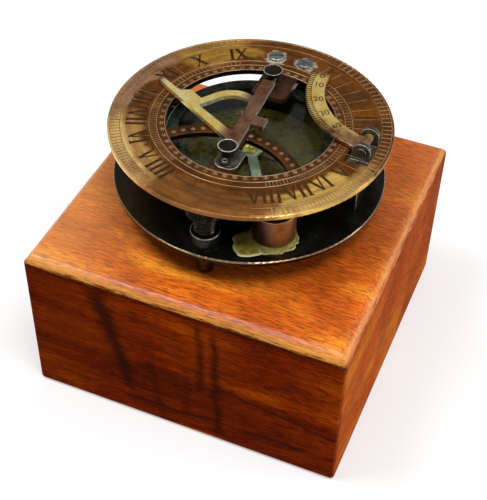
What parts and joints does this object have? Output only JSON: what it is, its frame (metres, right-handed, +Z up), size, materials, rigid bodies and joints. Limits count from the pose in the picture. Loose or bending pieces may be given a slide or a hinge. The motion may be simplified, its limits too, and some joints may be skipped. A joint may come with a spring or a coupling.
{
  "type": "inclining sundial compass on a wooden case",
  "caption": "Brass pocket sundial with a tilting hour ring, folding gnomon and latitude arc over a magnetic compass, standing on levelling screws on its square wooden case.",
  "frame": {"origin": "middle of the case's underside", "axes": "+Z up, +Y north along the dial's noon line towards the ring hinge, +X east towards the latitude arc's pivot"},
  "size_m": [0.12, 0.12, 0.1055],
  "materials": {
    "case_wood": "oiled, worn hardwood",
    "ring_brass": "antiqued engraved brass",
    "gold_brass": "rubbed pale brass",
    "brown_brass": "brown toned brass",
    "black_plate": "black patina on brass, glossy",
    "dark_screw": "blackened brass, knurled",
    "dial_brass": "mottled etched brass",
    "steel": "dull grey steel",
    "copper": null,
    "cement": "set resin cement",
    "dial_glass": "clear with a green edge",
    "spirit": "yellow-green spirit"
  },
  "bodies": {
    "case": {"case_body": "case_wood"},
    "lid": {"case_lid": "case_wood"},
    "compass": {"base_plate": "black_plate", "plate_screws": "steel", "levelling_bosses": "dark_screw", "compass_bowl": "brown_brass", "compass_card": "dial_brass", "needle_pivot": "steel", "compass_glass": "dial_glass", "glass_bezel": "brown_brass", "level_cup": "copper", "level_fluid": "spirit", "level_glass": "dial_glass", "level_cement": "cement", "hinge_bracket": "brown_brass", "hinge_pin": "steel", "ring_rest": "brown_brass"},
    "ring": {"hour_ring": "ring_brass", "hinge_leaf": "brown_brass", "leaf_screws": "steel", "south_strap": "steel", "south_rivet": "steel", "gnomon_post_north": "dark_screw", "gnomon_post_south": "dark_screw", "arc_clevis": "steel", "arc_pin": "steel"},
    "gnomon": {"gnomon": "gold_brass", "gnomon_pins": "steel"},
    "arc": {"latitude_arc": "gold_brass"},
    "needle": {"needle": "steel", "needle_cap": "gold_brass"},
    "screw_south": {"levelling_screw_south": "dark_screw"},
    "screw_northeast": {"levelling_screw_northeast": "dark_screw"},
    "screw_northwest": {"levelling_screw_northwest": "dark_screw"}
  },
  "joints": [
    {"name": "lid_lift", "type": "slide", "parent": "case", "child": "lid", "axis": [0, 0, 1], "range_m": [0, 0.06]},
    {"name": "compass_lift", "type": "slide", "parent": "lid", "child": "compass", "axis": [0, 0, 1], "range_m": [0, 0.06]},
    {"name": "ring_tilt", "type": "hinge", "parent": "compass", "child": "ring", "pos_m": [0, 0.0465, 0.0956], "axis": [-1, 0, 0], "range_deg": [0, 60]},
    {"name": "gnomon_fold", "type": "hinge", "parent": "ring", "child": "gnomon", "pos_m": [0.0003, 0.00201, 0.1017], "axis": [-0.0401, 0.9992, 0], "range_deg": [0, 90]},
    {"name": "arc_fold", "type": "hinge", "parent": "ring", "child": "arc", "pos_m": [0.0414, 0.002, 0.1022], "axis": [0, 1, 0], "range_deg": [0, 90]},
    {"name": "needle_swing", "type": "hinge", "parent": "compass", "child": "needle", "pos_m": [0, 0.002, 0.0877], "axis": [0, 0, 1], "continuous": true},
    {"name": "screw_south_turn", "type": "hinge", "parent": "compass", "child": "screw_south", "pos_m": [0.00109, -0.03959, 0.079], "axis": [0, 0, 1], "continuous": true},
    {"name": "screw_northeast_turn", "type": "hinge", "parent": "compass", "child": "screw_northeast", "pos_m": [0.03547, 0.02374, 0.079], "axis": [0, 0, 1], "continuous": true},
    {"name": "screw_northwest_turn", "type": "hinge", "parent": "compass", "child": "screw_northwest", "pos_m": [-0.03656, 0.02185, 0.079], "axis": [0, 0, 1], "continuous": true}
  ]
}
